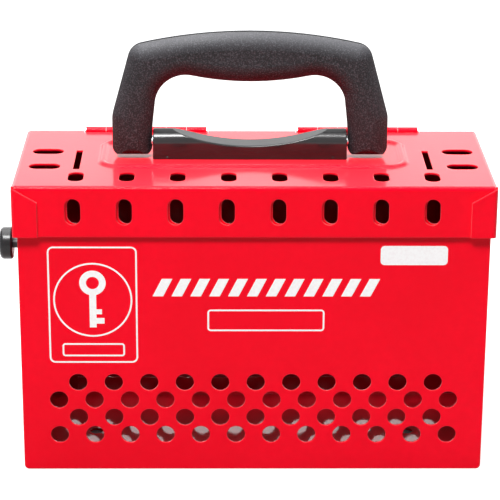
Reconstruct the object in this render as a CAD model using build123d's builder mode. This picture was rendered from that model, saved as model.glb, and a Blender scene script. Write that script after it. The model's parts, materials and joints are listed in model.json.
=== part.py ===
import os
from math import atan, cos, sin

from build123d import *

os.makedirs("parts", exist_ok=True)

# All sizes are in millimetres. The origin is the middle of the box's underside,
# +X points to the right, the front faces -Y and +Z is up.

# Sheet metal of the lid and the box
sheet = 1.2
lid_width = 236.0
lid_depth = 95.0
lid_top_z = 151.2
skirt_height = 25.7
lid_bend_radius = 2.0
side_clearance = 1.05
front_clearance = 0.6
rim_clearance = 0.3
floor_bend_radius = 2.4
weld_flange = 10.0
panel_edge_radius = 0.5

# Reach of a selection round a known place
near = 0.05

# Folded tabs that wrap the lid's side skirts round onto the front skirt
tab_width = 12.4
tab_gap = 0.1
tab_slope_drop = 7.9
tab_slope_start = 0.5

# Padlock places: slots in the skirts and walls, holes in the top
slot_width = 7.7
slot_length = 13.4
slot_count = 8
slot_end_margin = 30.5
slot_drop = 12.9
front_slot_shift_x = -0.9
top_hole_setback = 16.2
top_hole_length = 14.6
panel_slot_width = 8.2
wall_slot_shift_x = 0.5
wall_slot_shift_z = 0.1
side_slot_pitch = 25.0
end_slot_length = 15.8
end_slot_width = 8.7
end_slot_inset = 13.9
end_slot_setback = 45.6

# Key entry slots in the top
key_slot_width = 3.3
key_slot_length = 31.4
key_slot_setback = 28.5
key_slot_spacing = 175.7
key_slot_shift_x = -0.3

# Raised bead pressed into the top round the handle
bead_width = 6.0
bead_height = 1.3
bead_side_margin = 39.5
bead_setback = 29.7
bead_back_margin = 16.3
bead_corner_radius = 8.0

# Perforation of the front and back panels
hole_diameter = 9.1
hole_side_margin = 18.07
hole_pitch_z = 9.5
lowest_row_z = 19.35
back_row_lift = 2.5
long_row_count = 12
short_row_count = 11
long_row_shift = 0.3
short_row_shift = 1.2

# Screw holes in the floor
floor_hole_diameter = 7.0
floor_hole_spacing = 163.0

# Hinges at the back edge
hinge_length = 63.2
hinge_centre_x = 55.5
hinge_knuckles = 6
leaf_thickness = 1.0
leaf_reach = 14.5
knuckle_gap = 0.2
knuckle_clearance = 0.4
pin_clearance = 0.05
pin_head_radius = 1.7
pin_head_length = 0.6

# Handle, its bracket and its pivots
handle_x = -1.75
pivot_setback = 51.0
pivot_height = 8.15
bracket_length = 97.6
bracket_radius = 6.3
bracket_edge_radius = 0.7
scoop_margin = 9.8
scoop_floor_height = 7.1
dimple_inset = 7.1
dimple_height = 1.9
dimple_radius = 0.6
dimple_depth = 0.4
handle_thickness = 12.6
handle_side_gap = 0.4
leg_width = 20.0
kink_height = 21.9
leg_straight_height = 15.0
outer_taper = 9.7
shoulder_height = 57.4
crown_height = 64.7
inner_taper = 3.6
inner_shoulder_height = 46.8
palm_height = 39.5
outer_corner_radius = 9.2
kink_radius = 12.0
inner_corner_radius = 15.5
inner_bend_radius = 60.0
foot_corner_radius = 3.9
dome_reach = 8.2
dome_radius = 12.0
dome_overrun = 0.4
side_band_width = 4.0
parting_groove_width = 1.8
parting_groove_depth = 0.9
pivot_pin_radius = 2.5
pivot_pin_in_bracket = 8.0
pivot_pin_in_leg = 10.0
pivot_end_space = 0.4
backing_thickness = 1.5
backing_end_margin = 4.8
backing_width = 16.0
backing_corner = 2.0
screw_radius = 2.0
screw_end_margin = 12.8
screw_head_radius = 3.8
screw_head_height = 2.3
screw_in_bracket = 6.0
screw_clearance = 0.05
screw_end_space = 0.5
screw_recess_length = 4.6
screw_recess_width = 0.9
screw_recess_depth = 1.3

# Side latch: a push rod whose catch enters a keeper under the lid
latch_drop = 44.9
latch_travel = 5.0
rod_radius = 2.5
knob_radius = 8.25
knob_length = 6.6
knob_standoff = 6.35
knob_inner_edge = 1.2
knob_outer_edge = 2.2
rod_in_knob = 4.5
bush_radius = 4.0
bush_flange_radius = 4.8
bush_flange = 0.6
bush_inside = 2.4
bush_clearance = 0.05
catch_thickness = 2.0
catch_width = 8.0
catch_hub_radius = 5.0
catch_hub_length = 3.0
catch_end_gap = 0.2
beak_length = 4.5
beak_width = 6.0
beak_height = 3.0
beak_drop = 8.0
beak_slope = 1.6
keeper_thickness = 1.2
keeper_width = 12.0
keeper_gap = 0.8
keeper_foot = 11.5
keeper_leg = 14.5
keeper_window_margin = 1.4
keeper_bend_radius = 0.6
guide_thickness = 1.2
guide_height = 12.0
guide_web_room = 1.0
guide_inner_width = 26.0
guide_foot = 8.0
clip_radius = 4.2
clip_thickness = 0.8
clip_groove_depth = 0.5
clip_gap = 0.2
clip_from_end = 3.0
clip_mouth = 3.6

# Places worked out from the sizes above
lid_front_y = -(lid_depth + 2 * sheet + front_clearance) / 2
hinge_y = lid_front_y + lid_depth
lid_under_z = lid_top_z - sheet
skirt_bottom_z = lid_top_z - skirt_height
body_half_depth = hinge_y + sheet
body_width = lid_width - 2 * (sheet + side_clearance)
wrap_half_depth = body_half_depth - sheet
rim_z = lid_under_z - rim_clearance
knuckle_radius = sheet + leaf_thickness
hinge_pin_radius = knuckle_radius - leaf_thickness - pin_clearance
back_rim_z = lid_top_z - knuckle_radius - rim_clearance
slot_z = lid_top_z - slot_drop
wall_slot_z = slot_z + wall_slot_shift_z
side_slot_y = lid_front_y + end_slot_setback
outer_slot_x = lid_width / 2 - slot_end_margin
slot_pitch = 2 * outer_slot_x / (slot_count - 1)
end_slot_x = lid_width / 2 - end_slot_inset
pivot_y = lid_front_y + pivot_setback
pivot_z = lid_top_z + pivot_height
hole_pitch_x = (body_width - 2 * hole_side_margin) / (long_row_count - 1)
row_counts = [long_row_count, short_row_count, long_row_count, short_row_count]
screw_spacing = bracket_length - 2 * screw_end_margin
knuckle_length = hinge_length / hinge_knuckles


def circular_arc(centre, radius, start_angle, turn):
    """Add an arc to the current line; angles in radians from the downward direction."""
    points = [
        (centre[0] + radius * sin(angle), centre[1] - radius * cos(angle))
        for angle in (start_angle, start_angle + turn / 2, start_angle + turn)
    ]
    ThreePointArc(*points)


# Bead profile: two equal arcs on each side, bent the same angle
bead_angle = 2 * atan(2 * bead_height / bead_width)
bead_arc_radius = bead_width / (4 * sin(bead_angle))


def bead_profile(plane, drop, depth):
    """Sketch the bead's section, moved inwards by drop and closed depth below its foot."""
    foot = bead_width / 2
    with BuildSketch(plane) as profile:
        with BuildLine():
            circular_arc((-foot, bead_arc_radius), bead_arc_radius + drop, 0, bead_angle)
            crest = (0, bead_height - bead_arc_radius)
            ThreePointArc(
                crest_point(crest, drop, -bead_angle),
                crest_point(crest, drop, 0),
                crest_point(crest, drop, bead_angle),
            )
            circular_arc((foot, bead_arc_radius), bead_arc_radius + drop, -bead_angle, bead_angle)
            Polyline((foot, -drop), (foot, -drop - depth), (-foot, -drop - depth), (-foot, -drop))
        make_face()
    return profile.sketch


def crest_point(centre, drop, angle):
    """Point of the bead's crest arc at an angle from its top."""
    radius = bead_arc_radius - drop
    return (centre[0] + radius * sin(angle), centre[1] + radius * cos(angle))


# Lid: one folded sheet with its top, skirts and corner tabs
slit_x = lid_width / 2 - lid_bend_radius - tab_gap
tab_outer_y = lid_front_y - tab_gap - sheet

with BuildPart() as lid_shell:
    with BuildSketch(Plane.XY.offset(skirt_bottom_z)):
        with Locations((0, (lid_front_y + hinge_y) / 2)):
            Rectangle(lid_width, lid_depth)
    extrude(amount=skirt_height)
    top_edges = lid_shell.edges().group_by(Axis.Z)[-1].sort_by(Axis.Y)[:-1]
    fillet(top_edges, lid_bend_radius)
    with BuildSketch(Plane.XY.offset(skirt_bottom_z)):
        with Locations((0, (lid_front_y + sheet + hinge_y) / 2)):
            Rectangle(lid_width - 2 * sheet, lid_depth - sheet)
    extrude(amount=skirt_height - sheet, mode=Mode.SUBTRACT)
    inner_edges = lid_shell.edges().filter_by_position(
        Axis.Z, lid_under_z - near, lid_under_z + near
    )
    fillet(inner_edges.filter_by(GeomType.LINE).sort_by(Axis.Y)[:-1], lid_bend_radius - sheet)

    # Slits that part the front skirt from the side skirts
    with BuildSketch(Plane.XY.offset(skirt_bottom_z)):
        for side in (-1, 1):
            with Locations((side * (slit_x + lid_width / 2 - sheet) / 2, lid_front_y)):
                Rectangle(lid_width / 2 - sheet - slit_x, 2 * lid_bend_radius)
    extrude(amount=skirt_height - lid_bend_radius, mode=Mode.SUBTRACT)

    # Tabs, with their sloping upper edge
    with BuildSketch(Plane.XY.offset(skirt_bottom_z)) as tab_plan:
        with BuildLine():
            Polyline(
                (lid_width / 2, lid_front_y + sheet),
                (lid_width / 2, tab_outer_y),
                (lid_width / 2 - tab_width, tab_outer_y),
                (lid_width / 2 - tab_width, lid_front_y - tab_gap),
                (lid_width / 2 - sheet, lid_front_y - tab_gap),
                (lid_width / 2 - sheet, lid_front_y + sheet),
                close=True,
            )
        make_face()
        outer_corner = (lid_width / 2, tab_outer_y)
        fillet(tab_plan.vertices().sort_by_distance(outer_corner)[0], lid_bend_radius)
        inner_corner = (lid_width / 2 - sheet, lid_front_y - tab_gap)
        fillet(tab_plan.vertices().sort_by_distance(inner_corner)[0], lid_bend_radius - sheet)
        mirror(about=Plane.YZ)
    extrude(amount=skirt_height)
    slope_low_z = lid_top_z - tab_slope_drop
    with BuildSketch(Plane.XZ.offset(-tab_outer_y + sheet)):
        with BuildLine():
            Polyline(
                (lid_width / 2 + sheet, lid_top_z + sheet),
                (lid_width / 2 + sheet, lid_top_z - tab_slope_start),
                (lid_width / 2, lid_top_z - tab_slope_start),
                (lid_width / 2 - tab_width, slope_low_z),
                (lid_width / 2 - 2 * tab_width, slope_low_z),
                (lid_width / 2 - 2 * tab_width, lid_top_z + sheet),
                close=True,
            )
        make_face()
        mirror(about=Plane.YZ)
    extrude(amount=-(2 * sheet + tab_gap / 2), mode=Mode.SUBTRACT)

    # Bead round the handle, raised outside and hollow inside
    bead_span_x = lid_width - 2 * bead_side_margin
    bead_span_y = lid_depth - bead_setback - bead_back_margin
    bead_centre_y = lid_front_y + bead_setback + bead_span_y / 2
    half_x = (bead_span_x - bead_width) / 2
    half_y = (bead_span_y - bead_width) / 2
    corners = [(half_x, -half_y), (half_x, half_y), (-half_x, half_y), (-half_x, -half_y)]
    with BuildLine(Plane((0, bead_centre_y, lid_top_z))) as bead_path:
        FilletPolyline(*corners, radius=bead_corner_radius, close=True)
    bead_loop = bead_path.wire()
    bead_start = Plane(bead_loop @ 0, x_dir=Axis.Z.direction.cross(bead_loop % 0), z_dir=bead_loop % 0)
    sweep(bead_profile(bead_start, 0, sheet / 2), path=bead_loop)
    sweep(bead_profile(bead_start, sheet, sheet), path=bead_loop, mode=Mode.SUBTRACT)

    # Padlock holes, end slots and key slots of the top, and the screw holes of the handle
    with BuildSketch(Plane.XY.offset(lid_top_z)):
        with Locations((0, lid_front_y + top_hole_setback)):
            with GridLocations(slot_pitch, 0, slot_count, 1):
                SlotOverall(top_hole_length, slot_width, rotation=90)
        with Locations((0, side_slot_y)):
            with GridLocations(2 * end_slot_x, side_slot_pitch, 2, 2):
                SlotOverall(end_slot_length, end_slot_width)
        key_slot_y = lid_front_y + key_slot_setback + key_slot_length / 2
        with Locations((key_slot_shift_x, key_slot_y)):
            with GridLocations(key_slot_spacing, 0, 2, 1):
                Rectangle(key_slot_width, key_slot_length)
        with Locations((handle_x, pivot_y)):
            with GridLocations(screw_spacing, 0, 2, 1):
                Circle(screw_radius + screw_clearance)
    extrude(amount=-2 * sheet, mode=Mode.SUBTRACT)

    # Slots of the front skirt and of the side skirts
    with BuildSketch(Plane.XZ.offset(-lid_front_y)):
        with Locations((front_slot_shift_x, slot_z)):
            with GridLocations(slot_pitch, 0, slot_count, 1):
                SlotOverall(slot_length, slot_width, rotation=90)
    extrude(amount=-2 * sheet, mode=Mode.SUBTRACT)
    with BuildSketch(Plane.YZ):
        with Locations((side_slot_y, slot_z)):
            with GridLocations(side_slot_pitch, 0, 2, 1):
                SlotOverall(slot_length, slot_width, rotation=90)
    extrude(amount=lid_width, both=True, mode=Mode.SUBTRACT)

    # Notches for the hinge knuckles
    notch_depth = knuckle_radius + knuckle_clearance
    notch_length = hinge_length + 2 * (pin_head_length + knuckle_clearance)
    with BuildSketch(Plane.XY.offset(lid_top_z)):
        with Locations((0, hinge_y)):
            with GridLocations(2 * hinge_centre_x, 0, 2, 1):
                Rectangle(notch_length, 2 * notch_depth)
    extrude(amount=-2 * sheet, mode=Mode.SUBTRACT)
lid_shell.part.label = "lid_shell"
export_step(lid_shell.part, "parts/lid_shell.step")

# Keeper under the lid, with a window for the latch's beak
wall_x = -body_width / 2
wall_inner_x = wall_x + sheet
latch_y = side_slot_y
latch_z = lid_top_z - latch_drop
catch_x = wall_inner_x + bush_inside + catch_end_gap
beak_root_x = catch_x + catch_thickness
beak_top_z = lid_under_z - beak_drop
keeper_x = beak_root_x + beak_length + keeper_gap

with BuildPart() as latch_keeper:
    with BuildSketch(Plane.XZ.offset(-latch_y)):
        with BuildLine():
            Polyline(
                (keeper_x, lid_under_z),
                (keeper_x + keeper_foot, lid_under_z),
                (keeper_x + keeper_foot, lid_under_z - keeper_thickness),
                (keeper_x + keeper_thickness, lid_under_z - keeper_thickness),
                (keeper_x + keeper_thickness, lid_under_z - keeper_leg),
                (keeper_x, lid_under_z - keeper_leg),
                close=True,
            )
        make_face()
    extrude(amount=keeper_width / 2, both=True)
    cross_edges = latch_keeper.edges().filter_by(Axis.Y).group_by(Axis.X)
    fillet(cross_edges[0].sort_by(Axis.Z)[-1], keeper_bend_radius + keeper_thickness)
    fillet(cross_edges[1].sort_by(Axis.Z)[-1], keeper_bend_radius)
    with BuildSketch(Plane.YZ.offset(keeper_x)):
        with Locations((latch_y, beak_top_z - beak_height / 2)):
            Rectangle(beak_width + 2 * keeper_window_margin, beak_height + 2 * keeper_window_margin)
    extrude(amount=keeper_thickness, mode=Mode.SUBTRACT)
latch_keeper.part.label = "latch_keeper"
export_step(latch_keeper.part, "parts/latch_keeper.step")

# Box: side walls and floor bent from one sheet, with flanges for the panels
with BuildPart() as box_wrap:
    with BuildSketch(Plane.XZ) as wrap_section:
        with Locations((0, rim_z / 2)):
            Rectangle(body_width, rim_z)
        fillet(wrap_section.vertices().group_by(Axis.Y)[0], floor_bend_radius)
        with BuildSketch(Plane.XZ, mode=Mode.SUBTRACT) as wrap_inside:
            with Locations((0, (rim_z + sheet) / 2)):
                Rectangle(body_width - 2 * sheet, rim_z - sheet)
            fillet(wrap_inside.vertices().group_by(Axis.Y)[0], floor_bend_radius - sheet)
    extrude(amount=wrap_half_depth, both=True)

    # Flanges that the front and back panels are welded to
    for panel_side in (-1, 1):
        flange_y = panel_side * (wrap_half_depth - sheet / 2)
        flange_top = rim_z if panel_side < 0 else back_rim_z
        side_flange_x = body_width / 2 - sheet - weld_flange / 2
        side_flange_length = flange_top - 2 * (floor_bend_radius + weld_flange)
        for side in (-1, 1):
            with Locations((side * side_flange_x, flange_y, flange_top / 2)):
                Box(weld_flange, sheet, side_flange_length)
        with Locations((0, flange_y, sheet + weld_flange / 2)):
            Box(body_width - 2 * sheet - 4 * weld_flange, sheet, weld_flange)

    # Padlock slots of the side walls, the latch's hole and the floor's screw holes
    with BuildSketch(Plane.YZ):
        with Locations((side_slot_y, wall_slot_z)):
            with GridLocations(side_slot_pitch, 0, 2, 1):
                SlotOverall(slot_length, slot_width, rotation=90)
    extrude(amount=lid_width, both=True, mode=Mode.SUBTRACT)
    with BuildSketch(Plane.YZ.offset(wall_x)):
        with Locations((latch_y, latch_z)):
            Circle(bush_radius + bush_clearance)
    extrude(amount=sheet, mode=Mode.SUBTRACT)
    with BuildSketch(Plane.XY):
        with Locations((0, side_slot_y)):
            with GridLocations(floor_hole_spacing, 0, 2, 1):
                Circle(floor_hole_diameter / 2)
    extrude(amount=sheet, mode=Mode.SUBTRACT)
box_wrap.part.label = "box_wrap"
export_step(box_wrap.part, "parts/box_wrap.step")

# Front and back panels, both perforated near the floor
panels = [("front_panel", -1, rim_z), ("back_panel", 1, back_rim_z)]
for panel_name, panel_side, panel_height in panels:
    first_row_z = lowest_row_z if panel_side < 0 else lowest_row_z + back_row_lift
    with BuildPart() as panel:
        with BuildSketch(Plane.XZ.offset(-panel_side * wrap_half_depth)) as outline:
            with Locations((0, panel_height / 2)):
                Rectangle(body_width, panel_height)
            fillet(outline.vertices().group_by(Axis.Y)[0], floor_bend_radius)
            for row, count in enumerate(row_counts):
                row_shift = short_row_shift if count == short_row_count else long_row_shift
                with Locations((row_shift, first_row_z + row * hole_pitch_z)):
                    with GridLocations(hole_pitch_x, 0, count, 1):
                        Circle(hole_diameter / 2, mode=Mode.SUBTRACT)
            if panel_name == "front_panel":
                with Locations((wall_slot_shift_x, wall_slot_z)):
                    with GridLocations(slot_pitch, 0, slot_count, 1):
                        SlotOverall(slot_length, panel_slot_width, rotation=90, mode=Mode.SUBTRACT)
        extrude(amount=-panel_side * sheet)
        outer_face = panel.faces().group_by(Axis.Y)[-1 if panel_side > 0 else 0][0]
        fillet(outer_face.outer_wire().edges(), panel_edge_radius)
    panel.part.label = panel_name
    export_step(panel.part, f"parts/{panel_name}.step")

# Hinges: on each, the box carries every other knuckle and the lid carries the rest
bore_radius = hinge_pin_radius + pin_clearance
box_leaf_y = hinge_y + sheet
for hinge_name, hinge_x in [("left", -hinge_centre_x), ("right", hinge_centre_x)]:
    first_knuckle_x = hinge_x - hinge_length / 2
    for leaf_name, first in [("box", 0), ("lid", 1)]:
        with BuildPart() as leaf:
            # Flat leaf, under the lid or on the back panel
            if leaf_name == "lid":
                with BuildSketch(Plane.XY.offset(lid_under_z)):
                    with Locations((hinge_x, hinge_y - leaf_reach / 2)):
                        Rectangle(hinge_length, leaf_reach)
                extrude(amount=-leaf_thickness)
                far_corners = leaf.edges().filter_by(Axis.Z).group_by(Axis.Y)[0]
            else:
                with BuildSketch(Plane.XZ.offset(-box_leaf_y)):
                    with Locations((hinge_x, lid_top_z - leaf_reach / 2)):
                        Rectangle(hinge_length, leaf_reach)
                extrude(amount=-leaf_thickness)
                far_corners = leaf.edges().filter_by(Axis.Y).group_by(Axis.Z)[0]
            fillet(far_corners, 2 * leaf_thickness)

            # Room for the other leaf's knuckles, then this leaf's own knuckles
            for index in range(hinge_knuckles):
                knuckle_x = first_knuckle_x + index * knuckle_length
                own = index % 2 == first
                room = knuckle_radius + knuckle_clearance
                with BuildSketch(Plane.YZ.offset(knuckle_x)):
                    with Locations((hinge_y, lid_top_z)):
                        Circle(bore_radius if own else room)
                extrude(amount=knuckle_length, mode=Mode.SUBTRACT)
                if own:
                    with BuildSketch(Plane.YZ.offset(knuckle_x + knuckle_gap / 2)):
                        with Locations((hinge_y, lid_top_z)):
                            Circle(knuckle_radius)
                            Circle(bore_radius, mode=Mode.SUBTRACT)
                    extrude(amount=knuckle_length - knuckle_gap)
        node = f"hinge_{hinge_name}_{leaf_name}_leaf"
        leaf.part.label = node
        export_step(leaf.part, f"parts/{node}.step")

    # Pin with a small head at each end
    with BuildPart() as hinge_pin:
        with BuildSketch(Plane.YZ.offset(first_knuckle_x)):
            with Locations((hinge_y, lid_top_z)):
                Circle(hinge_pin_radius)
        extrude(amount=hinge_length)
        for head_x in (first_knuckle_x - pin_head_length, first_knuckle_x + hinge_length):
            with BuildSketch(Plane.YZ.offset(head_x)):
                with Locations((hinge_y, lid_top_z)):
                    Circle(pin_head_radius)
            extrude(amount=pin_head_length)
    node = f"hinge_{hinge_name}_pin"
    hinge_pin.part.label = node
    export_step(hinge_pin.part, f"parts/{node}.step")

# Handle grip: an arch with domed faces, whose legs turn on the pivots
inner_half = bracket_length / 2 + handle_side_gap
handle_outer_half = inner_half + leg_width
shoulder_half = handle_outer_half - outer_taper
inner_shoulder_half = inner_half - inner_taper
grip_plane = Plane((handle_x, pivot_y, lid_top_z), x_dir=(1, 0, 0), z_dir=(0, -1, 0))
leg_half = handle_thickness / 2
foot_height = pivot_height - leg_half


def dome_cut(plane):
    """Section of what is cut from both sides of the outline to leave a domed face."""
    dome_rise = leg_half - side_band_width / 2
    chord = (dome_reach**2 + dome_rise**2) ** 0.5
    chord_angle = atan(dome_rise / dome_reach)
    to_centre = (dome_radius**2 - chord**2 / 4) ** 0.5
    centre_x = dome_reach / 2 + to_centre * sin(chord_angle)
    centre_y = (leg_half + side_band_width / 2) / 2 - to_centre * cos(chord_angle)

    def on_dome(x):
        return (x, centre_y + (dome_radius**2 - (x - centre_x) ** 2) ** 0.5)

    end_x = dome_reach + dome_overrun
    with BuildSketch(plane) as section:
        with BuildLine():
            ThreePointArc(on_dome(0), on_dome(end_x / 2), on_dome(end_x))
            Polyline(on_dome(end_x), (end_x, 2 * leg_half), (0, 2 * leg_half))
            mirror(about=Plane.YZ)
        make_face()
    return section.sketch


with BuildPart() as handle_grip:
    with BuildSketch(grip_plane) as arch:
        with BuildLine():
            Polyline(
                (-shoulder_half, shoulder_height),
                (-handle_outer_half, kink_height),
                (-handle_outer_half, foot_height),
                (-inner_half, foot_height),
                (-inner_half, leg_straight_height),
                (-inner_shoulder_half, inner_shoulder_height),
            )
            ThreePointArc(
                (-inner_shoulder_half, inner_shoulder_height),
                (0, palm_height),
                (inner_shoulder_half, inner_shoulder_height),
            )
            Polyline(
                (inner_shoulder_half, inner_shoulder_height),
                (inner_half, leg_straight_height),
                (inner_half, foot_height),
                (handle_outer_half, foot_height),
                (handle_outer_half, kink_height),
                (shoulder_half, shoulder_height),
            )
            ThreePointArc((shoulder_half, shoulder_height), (0, crown_height), (-shoulder_half, shoulder_height))
        make_face()
        corner_radii = [
            (shoulder_height, outer_corner_radius),
            (inner_shoulder_height, inner_corner_radius),
            (kink_height, kink_radius),
            (leg_straight_height, inner_bend_radius),
        ]
        for height, radius in corner_radii:
            fillet(arch.vertices().filter_by_position(Axis.Y, height - near, height + near), radius)
    extrude(amount=leg_half, both=True)
    feet = handle_grip.faces().sort_by(Axis.Z)[:2]
    fillet(feet.edges(), foot_corner_radius)

    # Domes on the front and the back, and the parting groove, along both sides of the arch
    above_feet = lid_top_z + foot_height + near
    side_lines = arch.sketch.edges().filter_by(lambda edge: edge.center().Z > above_feet)
    for side_line in Wire.combine(side_lines):
        for face_side in (-1, 1):
            cut_plane = Plane(side_line @ 0, x_dir=(1, 0, 0), z_dir=(0, 0, face_side))
            sweep(dome_cut(cut_plane), path=side_line, mode=Mode.SUBTRACT)
        groove_plane = Plane(side_line @ 0, x_dir=(1, 0, 0), z_dir=(0, 0, 1))
        with BuildSketch(groove_plane) as groove:
            Rectangle(2 * parting_groove_depth, parting_groove_width)
        sweep(groove.sketch, path=side_line, mode=Mode.SUBTRACT)

    # Blind bores for the pivot pins
    for side in (-1, 1):
        with BuildSketch(Plane.YZ.offset(handle_x + side * inner_half)):
            with Locations((pivot_y, pivot_z)):
                Circle(pivot_pin_radius + pin_clearance)
        extrude(amount=side * (pivot_pin_in_leg + pivot_end_space), mode=Mode.SUBTRACT)
handle_grip.part.label = "handle_grip"
export_step(handle_grip.part, "parts/handle_grip.step")

# Bracket: a half-round bar on the lid, hollowed on top below the grip
bracket_height = pivot_height + bracket_radius
scoop_depth = bracket_height - scoop_floor_height
scoop_half = bracket_length / 2 - scoop_margin
scoop_radius = (scoop_half**2 + scoop_depth**2) / (2 * scoop_depth)

with BuildPart() as handle_bracket:
    with BuildSketch(Plane.YZ.offset(handle_x)):
        with Locations((pivot_y, pivot_z)):
            Circle(bracket_radius)
        with Locations((pivot_y, lid_top_z + pivot_height / 2)):
            Rectangle(2 * bracket_radius, pivot_height)
    extrude(amount=bracket_length / 2, both=True)
    with BuildSketch(grip_plane):
        with Locations((0, scoop_floor_height + scoop_radius)):
            Circle(scoop_radius)
    extrude(amount=2 * bracket_radius, both=True, mode=Mode.SUBTRACT)
    rims = handle_bracket.edges().filter_by(GeomType.LINE, reverse=True)
    fillet(rims, bracket_edge_radius)

    # Bores for the pivot pins and the screws, and the two small dimples in the front face
    for side in (-1, 1):
        with BuildSketch(Plane.YZ.offset(handle_x + side * bracket_length / 2)):
            with Locations((pivot_y, pivot_z)):
                Circle(pivot_pin_radius)
        extrude(amount=-side * pivot_pin_in_bracket, mode=Mode.SUBTRACT)
    with BuildSketch(Plane.XY.offset(lid_top_z)):
        with Locations((handle_x, pivot_y)):
            with GridLocations(screw_spacing, 0, 2, 1):
                Circle(screw_radius + screw_clearance)
    extrude(amount=screw_in_bracket + screw_end_space, mode=Mode.SUBTRACT)
    with BuildSketch(Plane.XZ.offset(bracket_radius - pivot_y)):
        with Locations((handle_x, lid_top_z + dimple_height)):
            with GridLocations(bracket_length - 2 * dimple_inset, 0, 2, 1):
                Circle(dimple_radius)
    extrude(amount=-dimple_depth, mode=Mode.SUBTRACT)
handle_bracket.part.label = "handle_bracket"
export_step(handle_bracket.part, "parts/handle_bracket.step")

# Pivot pins, fast in the bracket and free in the legs
for pin_name, side in [("left", -1), ("right", 1)]:
    with BuildPart() as pivot_pin:
        with BuildSketch(Plane.YZ.offset(handle_x + side * (bracket_length / 2 - pivot_pin_in_bracket))):
            with Locations((pivot_y, pivot_z)):
                Circle(pivot_pin_radius)
        extrude(amount=side * (pivot_pin_in_bracket + handle_side_gap + pivot_pin_in_leg))
        chamfer(pivot_pin.edges().filter_by(GeomType.CIRCLE), pivot_end_space)
    node = f"pivot_pin_{pin_name}"
    pivot_pin.part.label = node
    export_step(pivot_pin.part, f"parts/{node}.step")

# Backing plate below the lid, and the screws that clamp lid and bracket to it
backing_z = lid_under_z - backing_thickness
with BuildPart() as backing_plate:
    with BuildSketch(Plane.XY.offset(backing_z)):
        with Locations((handle_x, pivot_y)):
            RectangleRounded(bracket_length - 2 * backing_end_margin, backing_width, backing_corner)
            with GridLocations(screw_spacing, 0, 2, 1):
                Circle(screw_radius + screw_clearance, mode=Mode.SUBTRACT)
    extrude(amount=backing_thickness)
backing_plate.part.label = "handle_backing_plate"
export_step(backing_plate.part, "parts/handle_backing_plate.step")

screw_seat = Plane((handle_x, pivot_y, backing_z))
with BuildPart() as bracket_screws:
    with BuildSketch(screw_seat):
        with GridLocations(screw_spacing, 0, 2, 1):
            Circle(screw_radius)
    extrude(amount=backing_thickness + sheet + screw_in_bracket)
    with BuildSketch(screw_seat):
        with GridLocations(screw_spacing, 0, 2, 1):
            Circle(screw_head_radius)
    extrude(amount=-screw_head_height)
    fillet(bracket_screws.edges().filter_by(GeomType.CIRCLE).group_by(Axis.Z)[0], screw_head_height / 2)
    with BuildSketch(screw_seat.offset(-screw_head_height)):
        with GridLocations(screw_spacing, 0, 2, 1):
            Rectangle(screw_recess_length, screw_recess_width)
            Rectangle(screw_recess_width, screw_recess_length)
    extrude(amount=screw_recess_depth, mode=Mode.SUBTRACT)
bracket_screws.part.label = "bracket_screws"
export_step(bracket_screws.part, "parts/bracket_screws.step")

# Side latch, along X from the knob outside to the guide inside
knob_inner_x = wall_x - knob_standoff
hub_end_x = catch_x + catch_hub_length
web_x = hub_end_x + latch_travel + guide_web_room
clip_x = web_x + guide_thickness + clip_gap
rod_start_x = knob_inner_x - rod_in_knob
rod_end_x = clip_x + clip_thickness + clip_from_end


def latch_disc(start_x, radius, length, mode=Mode.ADD):
    """Extrude a disc on the latch's axis from start_x along X into the open part."""
    with BuildSketch(Plane.YZ.offset(start_x)) as disc:
        with Locations((latch_y, latch_z)):
            Circle(radius)
    extrude(disc.sketch, amount=length, mode=mode)


with BuildPart() as latch_knob:
    latch_disc(knob_inner_x - knob_length, knob_radius, knob_length)
    knob_rims = latch_knob.edges().filter_by(GeomType.CIRCLE).sort_by(Axis.X)
    fillet(knob_rims[0], knob_outer_edge)
    fillet(latch_knob.edges().filter_by(GeomType.CIRCLE).sort_by(Axis.X)[-1], knob_inner_edge)
    latch_disc(rod_start_x, rod_radius, rod_in_knob, Mode.SUBTRACT)
latch_knob.part.label = "latch_knob"
export_step(latch_knob.part, "parts/latch_knob.step")

clip_groove_radius = rod_radius - clip_groove_depth
with BuildPart() as latch_rod:
    latch_disc(rod_start_x, rod_radius, rod_end_x - rod_start_x)
    chamfer(latch_rod.edges().filter_by(GeomType.CIRCLE).sort_by(Axis.X)[-1], clip_groove_depth)
    with BuildSketch(Plane.YZ.offset(clip_x)):
        with Locations((latch_y, latch_z)):
            Circle(2 * rod_radius)
            Circle(clip_groove_radius, mode=Mode.SUBTRACT)
    extrude(amount=clip_thickness, mode=Mode.SUBTRACT)
latch_rod.part.label = "latch_rod"
export_step(latch_rod.part, "parts/latch_rod.step")

with BuildPart() as latch_clip:
    with BuildSketch(Plane.YZ.offset(clip_x)):
        with Locations((latch_y, latch_z)):
            Circle(clip_radius)
            Circle(clip_groove_radius, mode=Mode.SUBTRACT)
        with Locations((latch_y, latch_z - clip_radius)):
            Rectangle(clip_mouth, 2 * clip_radius, mode=Mode.SUBTRACT)
    extrude(amount=clip_thickness)
latch_clip.part.label = "latch_clip"
export_step(latch_clip.part, "parts/latch_clip.step")

with BuildPart() as latch_bush:
    latch_disc(wall_x - bush_flange, bush_flange_radius, bush_flange)
    latch_disc(wall_x, bush_radius, sheet + bush_inside)
    bush_length = bush_flange + sheet + bush_inside
    latch_disc(wall_x - bush_flange, rod_radius + bush_clearance, bush_length, Mode.SUBTRACT)
latch_bush.part.label = "latch_bush"
export_step(latch_bush.part, "parts/latch_bush.step")

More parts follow.
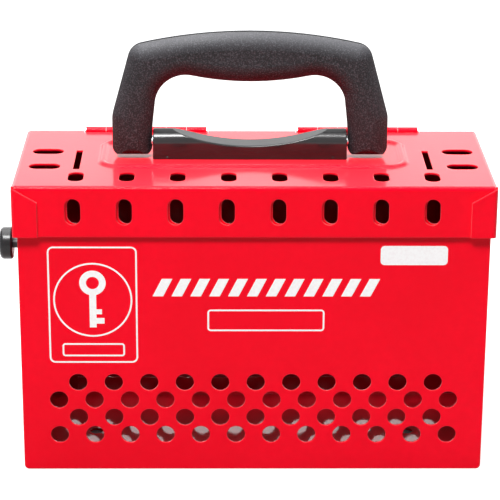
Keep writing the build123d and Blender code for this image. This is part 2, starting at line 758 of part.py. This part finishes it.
# Catch: a hub on the rod, an upright blade and the beak at its top
with BuildPart() as latch_catch:
    latch_disc(catch_x, catch_hub_radius, catch_hub_length)
    blade_height = beak_top_z - latch_z
    with BuildSketch(Plane.YZ.offset(catch_x)):
        with Locations((latch_y, latch_z + blade_height / 2)):
            Rectangle(catch_width, blade_height)
    extrude(amount=catch_thickness)
    with BuildSketch(Plane.XZ.offset(-latch_y)):
        with BuildLine():
            Polyline(
                (catch_x, beak_top_z),
                (beak_root_x, beak_top_z),
                (beak_root_x + beak_length, beak_top_z - beak_slope),
                (beak_root_x + beak_length, beak_top_z - beak_height),
                (catch_x, beak_top_z - beak_height),
                close=True,
            )
        make_face()
    extrude(amount=beak_width / 2, both=True)
    latch_disc(catch_x, rod_radius, catch_hub_length, Mode.SUBTRACT)
latch_catch.part.label = "latch_catch"
export_step(latch_catch.part, "parts/latch_catch.step")

# Guide: a hat-shaped strap welded to the wall that carries the rod's inner end
guide_half = guide_inner_width / 2
guide_outer = guide_half + guide_thickness
with BuildPart() as latch_guide:
    with BuildSketch(Plane.XY.offset(latch_z - guide_height / 2)):
        with Locations((web_x + guide_thickness / 2, latch_y)):
            Rectangle(guide_thickness, 2 * guide_outer)
        for side in (-1, 1):
            with Locations(((wall_inner_x + web_x) / 2, latch_y + side * (guide_half + guide_thickness / 2))):
                Rectangle(web_x - wall_inner_x, guide_thickness)
            with Locations((wall_inner_x + guide_thickness / 2, latch_y + side * (guide_half + guide_foot / 2))):
                Rectangle(guide_thickness, guide_foot)
    extrude(amount=guide_height)
    latch_disc(web_x, rod_radius + bush_clearance, guide_thickness, Mode.SUBTRACT)
latch_guide.part.label = "latch_guide"
export_step(latch_guide.part, "parts/latch_guide.step")
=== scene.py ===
import json
import math

import bmesh
import bpy
from mathutils import Matrix, Vector


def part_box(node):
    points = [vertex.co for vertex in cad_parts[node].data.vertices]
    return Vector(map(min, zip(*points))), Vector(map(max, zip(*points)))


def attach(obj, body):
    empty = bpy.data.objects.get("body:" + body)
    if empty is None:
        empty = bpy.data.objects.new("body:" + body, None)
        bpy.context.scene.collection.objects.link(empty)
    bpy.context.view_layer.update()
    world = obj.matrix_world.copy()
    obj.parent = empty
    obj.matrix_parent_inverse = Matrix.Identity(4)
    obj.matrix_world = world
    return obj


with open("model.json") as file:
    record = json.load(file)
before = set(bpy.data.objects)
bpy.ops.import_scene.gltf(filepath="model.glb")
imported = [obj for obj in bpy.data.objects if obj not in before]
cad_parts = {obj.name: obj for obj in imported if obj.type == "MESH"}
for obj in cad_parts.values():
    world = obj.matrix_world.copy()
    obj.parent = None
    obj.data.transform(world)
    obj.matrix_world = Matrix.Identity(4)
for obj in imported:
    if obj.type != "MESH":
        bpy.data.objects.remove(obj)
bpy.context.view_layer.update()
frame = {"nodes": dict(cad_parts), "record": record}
nodes = frame["nodes"]

MM = 0.001
RANGE_SOCKETS = ("From Min", "From Max", "To Min", "To Max")
PANEL_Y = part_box("front_panel")[0].y
# Band of painted shade beside the grip's parting groove: its half width, and how far its middle lies in
# front of the grip's own
BAND_HALF = 1.45 * MM
BAND_FORWARD = 0.55 * MM
# Thickness of the painted sheet
SHEET = 1.2 * MM
HALF_SHEET = SHEET / 2


def join(tree, operation, first, second=0.0):
    """The output of a new math node; each input is a socket or a number."""
    made = tree.nodes.new("ShaderNodeMath")
    made.operation = operation
    for socket, value in zip(made.inputs, (first, second)):
        if isinstance(value, bpy.types.NodeSocket):
            tree.links.new(value, socket)
        else:
            socket.default_value = value
    return made.outputs[0]


# Materials
class Shader:
    """A material under construction: a Principled shader and the nodes that feed it."""

    def __init__(self, name, color, roughness, **sockets):
        self.material = bpy.data.materials.new(name)
        self.material.use_nodes = True
        self.tree = self.material.node_tree
        self.bsdf = self.tree.nodes["Principled BSDF"]
        self.bsdf.inputs["Base Color"].default_value = (*color, 1)
        self.bsdf.inputs["Roughness"].default_value = roughness
        for socket, value in sockets.items():
            self.bsdf.inputs[socket.replace("_", " ")].default_value = value
        self.coords = self.node("ShaderNodeTexCoord").outputs["Object"]

    def node(self, kind, **inputs):
        made = self.tree.nodes.new(kind)
        for socket, value in inputs.items():
            self.feed(made.inputs[socket.replace("_", " ")], value)
        return made

    def feed(self, socket, value):
        if isinstance(value, bpy.types.NodeSocket):
            self.tree.links.new(value, socket)
        else:
            socket.default_value = value

    def noise(self, scale, detail=2.0, roughness=0.5, coords=None):
        made = self.node("ShaderNodeTexNoise", Vector=coords or self.coords, Scale=scale, Detail=detail)
        made.inputs["Roughness"].default_value = roughness
        return made.outputs["Fac"]

    def map_range(self, value, low, high, out_low, out_high):
        made = self.node("ShaderNodeMapRange", Value=value)
        for socket, number in zip(RANGE_SOCKETS, (low, high, out_low, out_high)):
            made.inputs[socket].default_value = number
        return made.outputs["Result"]

    def mix(self, factor, first, second):
        made = self.tree.nodes.new("ShaderNodeMix")
        made.data_type = "RGBA"
        self.feed(made.inputs["Factor"], factor)
        for socket, value in ((made.inputs[6], first), (made.inputs[7], second)):
            self.feed(socket, (*value, 1) if isinstance(value, tuple) else value)
        return made.outputs[2]

    def math(self, operation, first, second=0.0):
        return join(self.tree, operation, first, second)

    def bump(self, height, strength, distance, normal=None):
        made = self.node("ShaderNodeBump", Height=height, Strength=strength, Distance=distance)
        if normal:
            self.feed(made.inputs["Normal"], normal)
        return made.outputs["Normal"]

    def round_edges(self, radius):
        made = self.tree.nodes.new("ShaderNodeBevel")
        made.samples = 4
        made.inputs["Radius"].default_value = radius
        return made.outputs["Normal"]

    def upward(self, low, high):
        """One on faces that look up at rest, in object coordinates, and nought on steeper ones."""
        normal = self.node("ShaderNodeTexCoord").outputs["Normal"]
        height = self.node("ShaderNodeSeparateXYZ", Vector=normal).outputs["Z"]
        return self.map_range(height, low, high, 0.0, 1.0)

    def edges(self, rounded_normal):
        """One along sharp edges, where the rounded normal leaves the face's own."""
        own = self.node("ShaderNodeNewGeometry").outputs["Normal"]
        made = self.node("ShaderNodeVectorMath")
        made.operation = "DOT_PRODUCT"
        self.feed(made.inputs[0], own)
        self.feed(made.inputs[1], rounded_normal)
        return self.map_range(made.outputs["Value"], 0.80, 0.98, 1.0, 0.0)

    def set(self, socket, value):
        self.feed(self.bsdf.inputs[socket], value)


def inside(shader, low, high):
    """One between the corners low and high, in object coordinates, and nought outside them."""
    separate = shader.node("ShaderNodeSeparateXYZ", Vector=shader.coords)
    result = 1.0
    for axis, start, stop in zip("XYZ", low, high):
        place = separate.outputs[axis]
        for limit, operation in ((start, "GREATER_THAN"), (stop, "LESS_THAN")):
            result = shader.math("MULTIPLY", result, shader.math(operation, place, limit))
    return result


def red_paint():
    """Powder coat with a faint orange peel and soft clouds of tone, with painted highlights along the
    edges and painted shade on the inside of the box above its floor.
    """
    shader = Shader("red_paint", (0.86, 0.0, 0.012), 0.48, Specular_IOR_Level=0.02,
                    Coat_Weight=0.65, Coat_Roughness=0.12, Coat_IOR=1.19,
                    Sheen_Weight=0.25, Sheen_Roughness=0.35)
    broad = shader.noise(14.0, 3.0)
    fine = shader.noise(260.0, 2.0)
    clouds = shader.map_range(broad, 0.35, 0.65, 0.0, 1.0)
    shade = shader.mix(clouds, (0.84, 0.0, 0.013), (0.92, 0.0, 0.016))
    shade = shader.mix(shader.map_range(fine, 0.3, 0.7, 0.0, 0.35), shade, (0.79, 0.0, 0.012))
    box_low, box_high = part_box("box_wrap")
    margin = Vector((HALF_SHEET, HALF_SHEET - SHEET, HALF_SHEET))
    hollow = inside(shader, box_low + margin, box_high - margin + Vector((0, 0, SHEET)))
    bottom = inside(shader, box_low, Vector((box_high.x, box_high.y, box_low.z + 2 * SHEET)))
    # painted shade: the inside of the box above its floor is painted darker than the outside
    painted_inside_shade = shader.mix(bottom, (0.28, 0.0, 0.008), (0.80, 0.0, 0.014))
    rounding = shader.round_edges(0.6 * MM)
    # painted highlight: sharp edges are painted paler pink, where light catches them
    painted_edge_highlight = shader.math("MULTIPLY", shader.edges(rounding), 0.45)
    shader.set("Base Color", shader.mix(painted_edge_highlight, shader.mix(hollow, shade, painted_inside_shade), (1.0, 0.12, 0.14)))
    top = shader.upward(0.5, 0.9)
    shader.set("Sheen Weight", shader.map_range(top, 0.0, 1.0, 0.06, 0.42))
    shader.set("Roughness", shader.map_range(broad, 0.3, 0.7, 0.44, 0.52))
    shader.set("Coat Roughness", shader.map_range(hollow, 0.0, 1.0, 0.12, 0.05))
    gloss = shader.map_range(top, 0.0, 1.0, 1.18, 1.225)
    hollow_gloss = shader.math("MULTIPLY", hollow, shader.math("SUBTRACT", 1.6, gloss))
    shader.set("Coat IOR", shader.math("ADD", gloss, hollow_gloss))
    surface = shader.bump(shader.noise(420.0, 1.0), 0.12, 0.10 * MM, rounding)
    shader.set("Normal", surface)
    shader.set("Coat Normal", surface)
    return shader.material


def handle_plastic():
    """Fine spark-eroded grain with paler flecks, a smooth band beside the parting groove painted dark as
    its shade, and upward faces painted paler as light from above.
    """
    shader = Shader("handle_plastic", (0.02, 0.02, 0.021), 0.46, Specular_IOR_Level=0.22)
    grain = shader.noise(1500.0, 3.0, 0.7)
    cloud = shader.noise(40.0, 3.0)
    clouds = shader.map_range(cloud, 0.3, 0.7, 0.0, 1.0)
    tone = shader.mix(clouds, (0.008, 0.008, 0.009), (0.014, 0.013, 0.015))
    flecks = shader.mix(shader.map_range(grain, 0.50, 0.64, 0.0, 1.0), tone, (0.060, 0.058, 0.066))
    separate = shader.node("ShaderNodeSeparateXYZ", Vector=shader.coords)
    low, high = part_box("handle_grip")
    band_centre = (low.y + high.y) / 2 - BAND_FORWARD
    offset = shader.math("ABSOLUTE", shader.math("SUBTRACT", separate.outputs["Y"], band_centre))
    # painted shade: the smooth band beside the parting groove is darkened to stand in for the groove's
    # shade
    painted_groove_shade = shader.map_range(offset, BAND_HALF - 0.1 * MM, BAND_HALF + 0.1 * MM, 1.0, 0.0)
    # painted light: faces that look up, the crown most, are painted paler than the legs, as the light
    # from above falls on them
    painted_top_light = shader.map_range(shader.upward(0.1, 0.9), 0.0, 1.0, 0.0, 0.5)
    wear_and_painted_light = shader.mix(painted_top_light, flecks, (0.150, 0.150, 0.165))
    shader.set("Base Color", shader.mix(painted_groove_shade, wear_and_painted_light, (0.008, 0.008, 0.009)))
    shader.set("Roughness", shader.map_range(cloud, 0.3, 0.7, 0.44, 0.56))
    height = shader.math("MULTIPLY", grain, shader.math("SUBTRACT", 1.0, painted_groove_shade))
    shader.set("Normal", shader.bump(height, 0.5, 0.25 * MM, shader.round_edges(0.4 * MM)))
    return shader.material


def bracket_plastic():
    shader = Shader("bracket_plastic", (0.012, 0.012, 0.013), 0.2, Specular_IOR_Level=0.4)
    cloud = shader.noise(60.0, 3.0)
    fine = shader.noise(1500.0, 2.0)
    shader.set("Base Color", shader.mix(cloud, (0.007, 0.007, 0.008), (0.012, 0.012, 0.013)))
    # the hollow on top has a duller finish than the rest
    hollow = shader.upward(0.60, 0.93)
    shader.set("Roughness", shader.math("ADD", shader.map_range(cloud, 0.3, 0.7, 0.17, 0.23),
                                        shader.math("MULTIPLY", hollow, 0.1)))
    shader.set("Specular IOR Level", shader.map_range(hollow, 0.0, 1.0, 0.5, 0.06))
    shader.set("Normal", shader.bump(fine, 0.3, 0.10 * MM, shader.round_edges(0.4 * MM)))
    return shader.material


def knob_plastic():
    shader = Shader("knob_plastic", (0.008, 0.008, 0.009), 0.26, Specular_IOR_Level=0.3)
    fine = shader.noise(1800.0, 2.0)
    cloud = shader.noise(90.0, 2.0)
    shader.set("Base Color", shader.mix(cloud, (0.005, 0.005, 0.006), (0.010, 0.010, 0.011)))
    shader.set("Normal", shader.bump(fine, 0.2, 0.06 * MM))
    return shader.material


def black_steel():
    """Blackened round bar, with a faint satin grain."""
    shader = Shader("black_steel", (0.015, 0.015, 0.017), 0.38, Specular_IOR_Level=0.4)
    cloud = shader.noise(240.0, 3.0)
    shader.set("Base Color", shader.mix(cloud, (0.010, 0.010, 0.011), (0.020, 0.020, 0.022)))
    shader.set("Roughness", shader.map_range(cloud, 0.3, 0.7, 0.32, 0.44))
    rounding = shader.round_edges(0.2 * MM)
    shader.set("Normal", shader.bump(shader.noise(2000.0, 2.0), 0.15, 0.04 * MM, rounding))
    return shader.material


def zinc_steel():
    shader = Shader("zinc_steel", (0.62, 0.63, 0.65), 0.34, Metallic=1.0)
    cloud = shader.noise(160.0, 4.0, 0.6)
    shader.set("Base Color", shader.mix(cloud, (0.55, 0.56, 0.58), (0.70, 0.71, 0.72)))
    shader.set("Roughness", shader.map_range(cloud, 0.3, 0.7, 0.26, 0.44))
    shader.set("Normal", shader.bump(shader.noise(2200.0, 2.0), 0.15, 0.04 * MM))
    return shader.material


def white_ink():
    shader = Shader("white_ink", (0.86, 0.86, 0.86), 0.30, Specular_IOR_Level=0.4)
    grain = shader.noise(900.0, 3.0)
    wear_and_painted_light = shader.map_range(grain, 0.4, 0.7, 0.0, 0.5)
    shader.set("Base Color", shader.mix(wear_and_painted_light, (0.88, 0.87, 0.87), (0.80, 0.74, 0.75)))
    shader.set("Normal", shader.bump(grain, 0.08, 0.04 * MM))
    return shader.material


makers = [red_paint, handle_plastic, bracket_plastic, knob_plastic, black_steel, zinc_steel]
materials = {maker.__name__: maker() for maker in makers}
ink = white_ink()
for part in frame["record"]["subparts"]:
    node = nodes[part["node"]]
    for slot in node.material_slots:
        slot.material = materials[part["material_slot"]]


# Print on the front panel, in millimetres
INK_THICKNESS = 0.05 * MM
LINE = 0.85
SMALLEST_CORNER = 0.2
WELD_DISTANCE = 1e-7


def circle(x, z, radius, count=64):
    return [
        (x + radius * math.cos(2 * math.pi * i / count), z + radius * math.sin(2 * math.pi * i / count))
        for i in range(count)
    ]


def rounded(x0, z0, x1, z1, radius, steps=8):
    """Corner points of a rectangle with round corners, in millimetres."""
    left, right, low, high = x0 + radius, x1 - radius, z0 + radius, z1 - radius
    centres = [(right, high), (left, high), (left, low), (right, low)]
    points = []
    for quarter, (cx, cz) in enumerate(centres):
        for step in range(steps + 1):
            angle = (quarter + step / steps) * math.pi / 2
            points.append((cx + radius * math.cos(angle), cz + radius * math.sin(angle)))
    return points


def outlined(x0, z0, x1, z1, radius, line=LINE):
    inner = rounded(x0 + line, z0 + line, x1 - line, z1 - line, max(radius - line, SMALLEST_CORNER))
    return [rounded(x0, z0, x1, z1, radius), inner]


def print_piece(name, loops):
    """A flat print on the front panel; loops inside loops are left open."""
    curve = bpy.data.curves.new(name, "CURVE")
    curve.dimensions = "2D"
    curve.fill_mode = "BOTH"
    curve.extrude = INK_THICKNESS / 2
    for loop in loops:
        spline = curve.splines.new("POLY")
        spline.points.add(len(loop) - 1)
        for point, (x, z) in zip(spline.points, loop):
            point.co = (x * MM, z * MM, 0, 1)
        spline.use_cyclic_u = True
    temporary = bpy.data.objects.new(name + "_curve", curve)
    bpy.context.scene.collection.objects.link(temporary)
    bpy.context.view_layer.update()
    mesh = bpy.data.meshes.new_from_object(temporary)
    bpy.data.objects.remove(temporary)
    upright = Matrix.Rotation(math.pi / 2, 4, "X")
    mesh.transform(Matrix.Translation((0, PANEL_Y - INK_THICKNESS / 2, 0)) @ upright)
    build = bmesh.new()
    build.from_mesh(mesh)
    bmesh.ops.remove_doubles(build, verts=build.verts, dist=WELD_DISTANCE)
    bmesh.ops.recalc_face_normals(build, faces=build.faces)
    build.to_mesh(mesh)
    build.free()
    mesh.name = name
    piece = bpy.data.objects.new(name, mesh)
    bpy.context.scene.collection.objects.link(piece)
    mesh.materials.clear()
    mesh.materials.append(ink)
    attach(piece, "box")
    return piece


# Ruled frame with a key in a ring
print_piece("print_frame", outlined(-101.5, 58.5, -57.5, 120.0, 3.0))
key_x, ring_z, ring_radius = -79.5, 92.0, 19.5
print_piece("print_ring", [circle(key_x, ring_z, ring_radius), circle(key_x, ring_z, ring_radius - LINE)])
bow_z, bow_radius, bow_hole_radius, bow_steps = 101.0, 6.5, 3.2, 48
shaft = 1.7
bit_z = 77.5
angle = math.asin(shaft / bow_radius)
first_turn, whole_turn = -math.pi / 2 + angle, 2 * math.pi - 2 * angle
bow = [
    (key_x + bow_radius * math.cos(a), bow_z + bow_radius * math.sin(a))
    for a in [first_turn + whole_turn * i / bow_steps for i in range(bow_steps + 1)]
]
# Outline of the shaft and its two teeth: steps to the right of the key's middle and up from its end
outline = [
    (-shaft, 0.0), (shaft, 0.0), (shaft, 2.0), (5.6, 2.0), (5.6, 5.0),
    (shaft, 5.0), (shaft, 7.0), (4.4, 7.0), (4.4, 9.6), (shaft, 9.6),
]
key = bow + [(key_x + across, bit_z + along) for across, along in outline]
print_piece("print_key", [key, circle(key_x, bow_z, bow_hole_radius, 40)])
print_piece("print_frame_field", outlined(-95.0, 62.0, -64.0, 69.0, 1.5))

# Band of slanted stripes, a write-on field and a plain patch
stripes = []
stripe_count, band_start, stripe_width, stripe_pitch = 12, -50.0, 5.2, 9.3
band_low, band_high, slant = 94.0, 103.2, 4.6
for index in range(stripe_count):
    x0 = band_start + index * stripe_pitch
    x1 = x0 + stripe_width
    stripes.append([(x0, band_low), (x1, band_low), (x1 + slant, band_high), (x0 + slant, band_high)])
print_piece("print_stripes", stripes)
print_piece("print_write_field", outlined(-23.0, 75.5, 35.0, 87.0, 1.8))
print_piece("print_patch", [rounded(62.0, 110.5, 95.0, 120.5, 2.0)])


# Floor, light and camera
def light(name, position, target, size, power):
    lamp = bpy.data.lights.new(name, "AREA")
    lamp.shape = "RECTANGLE"
    lamp.size, lamp.size_y = size
    lamp.energy = power
    made = bpy.data.objects.new(name, lamp)
    made.location = position
    made.rotation_euler = (Vector(target) - Vector(position)).to_track_quat("-Z", "Y").to_euler()
    made.visible_camera = False
    bpy.context.scene.collection.objects.link(made)


# Floor: its own colour, its glow near the object, and the distances between which that grows to white
FLOOR_GREY = 0.27
FLOOR_GLOW = 0.8
GLOW_REACH = (0.5, 1.6)
FLOOR_SIZE = 12.0
UNDER_MARGIN = 5 * MM
SURROUND = 0.05
middle = (0.0, 0.0, 0.08)
light("key", (-0.35, -0.95, 1.9), middle, (0.8, 0.5), 64.0)
light("top", (0.0, 0.35, 1.5), middle, (2.2, 1.4), 56.0)
light("rear", (0.0, 1.7, 0.85), middle, (3.0, 1.3), 27.0)


def seen_or_reflected(tree):
    """One on a ray from the camera, a reflection or a refraction, and nought on all others."""
    rays = tree.nodes.new("ShaderNodeLightPath").outputs
    reflected = join(tree, "MAXIMUM", rays["Is Camera Ray"], rays["Is Glossy Ray"])
    return join(tree, "MAXIMUM", reflected, rays["Is Transmission Ray"])


def background(strength_other):
    """White where the camera or a reflection sees it, softer where it only lights the object."""
    world = bpy.data.worlds.new("studio")
    bpy.context.scene.world = world
    world.use_nodes = True
    tree = world.node_tree
    shade = tree.nodes["Background"]
    shade.inputs["Color"].default_value = (1, 1, 1, 1)
    strength = tree.nodes.new("ShaderNodeMapRange")
    strength.inputs["To Min"].default_value = strength_other
    strength.inputs["To Max"].default_value = 1.0
    tree.links.new(seen_or_reflected(tree), strength.inputs["Value"])
    tree.links.new(strength.outputs["Result"], shade.inputs["Strength"])


background(SURROUND)

bpy.ops.mesh.primitive_grid_add(x_subdivisions=2, y_subdivisions=2, size=FLOOR_SIZE, location=(0, 0, 0))
floor = bpy.context.object
floor.name = "floor"
floor_material = bpy.data.materials.new("floor_white")
floor_material.use_nodes = True
tree = floor_material.node_tree
tree.nodes.remove(tree.nodes["Principled BSDF"])
diffuse = tree.nodes.new("ShaderNodeBsdfDiffuse")
box_low, box_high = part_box("box_wrap")
diffuse.inputs["Color"].default_value = (FLOOR_GREY, FLOOR_GREY, FLOOR_GREY, 1)
glow = tree.nodes.new("ShaderNodeEmission")
# the glow grows to full white away from the object, and the screw holes below it stay dark
place = tree.nodes.new("ShaderNodeTexCoord").outputs["Object"]
distance = tree.nodes.new("ShaderNodeVectorMath")
distance.operation = "LENGTH"
tree.links.new(place, distance.inputs[0])
fade = tree.nodes.new("ShaderNodeMapRange")
for socket, number in zip(RANGE_SOCKETS, (*GLOW_REACH, FLOOR_GLOW, 1.0)):
    fade.inputs[socket].default_value = number
tree.links.new(distance.outputs["Value"], fade.inputs["Value"])
separate = tree.nodes.new("ShaderNodeSeparateXYZ")
tree.links.new(place, separate.inputs["Vector"])
beyond = [
    join(tree, "GREATER_THAN", join(tree, "ABSOLUTE", separate.outputs[axis]), half - UNDER_MARGIN)
    for axis, half in (("X", box_high.x), ("Y", box_high.y))
]
strength = join(tree, "MULTIPLY", join(tree, "MAXIMUM", *beyond), fade.outputs["Result"])
tree.links.new(join(tree, "MULTIPLY", strength, seen_or_reflected(tree)), glow.inputs["Strength"])
total = tree.nodes.new("ShaderNodeAddShader")
tree.links.new(diffuse.outputs[0], total.inputs[0])
tree.links.new(glow.outputs[0], total.inputs[1])
tree.links.new(total.outputs[0], tree.nodes["Material Output"].inputs["Surface"])
floor.data.materials.append(floor_material)

CAMERA_PLACE = (-0.01696, -1.01312, 0.46651)
CAMERA_ANGLES = (19.821, 0.881, 0.355)
camera_data = bpy.data.cameras.new("camera")
camera_data.sensor_width = 36.0
camera_data.lens = 151.07
camera_data.clip_end = 50.0
camera = bpy.data.objects.new("camera", camera_data)
bpy.context.scene.collection.objects.link(camera)
pitch, yaw, roll = map(math.radians, CAMERA_ANGLES)
level = math.cos(pitch)
forward = Vector((math.sin(yaw) * level, math.cos(yaw) * level, -math.sin(pitch)))
right = Vector((math.cos(yaw), -math.sin(yaw), 0))
up = right.cross(forward)
axis_x = math.cos(roll) * right + math.sin(roll) * up
axis_y = -math.sin(roll) * right + math.cos(roll) * up
turn = Matrix((axis_x, axis_y, -forward)).transposed().to_4x4()
camera.matrix_world = Matrix.Translation(CAMERA_PLACE) @ turn
bpy.context.scene.camera = camera
bpy.context.scene.view_settings.view_transform = "Standard"
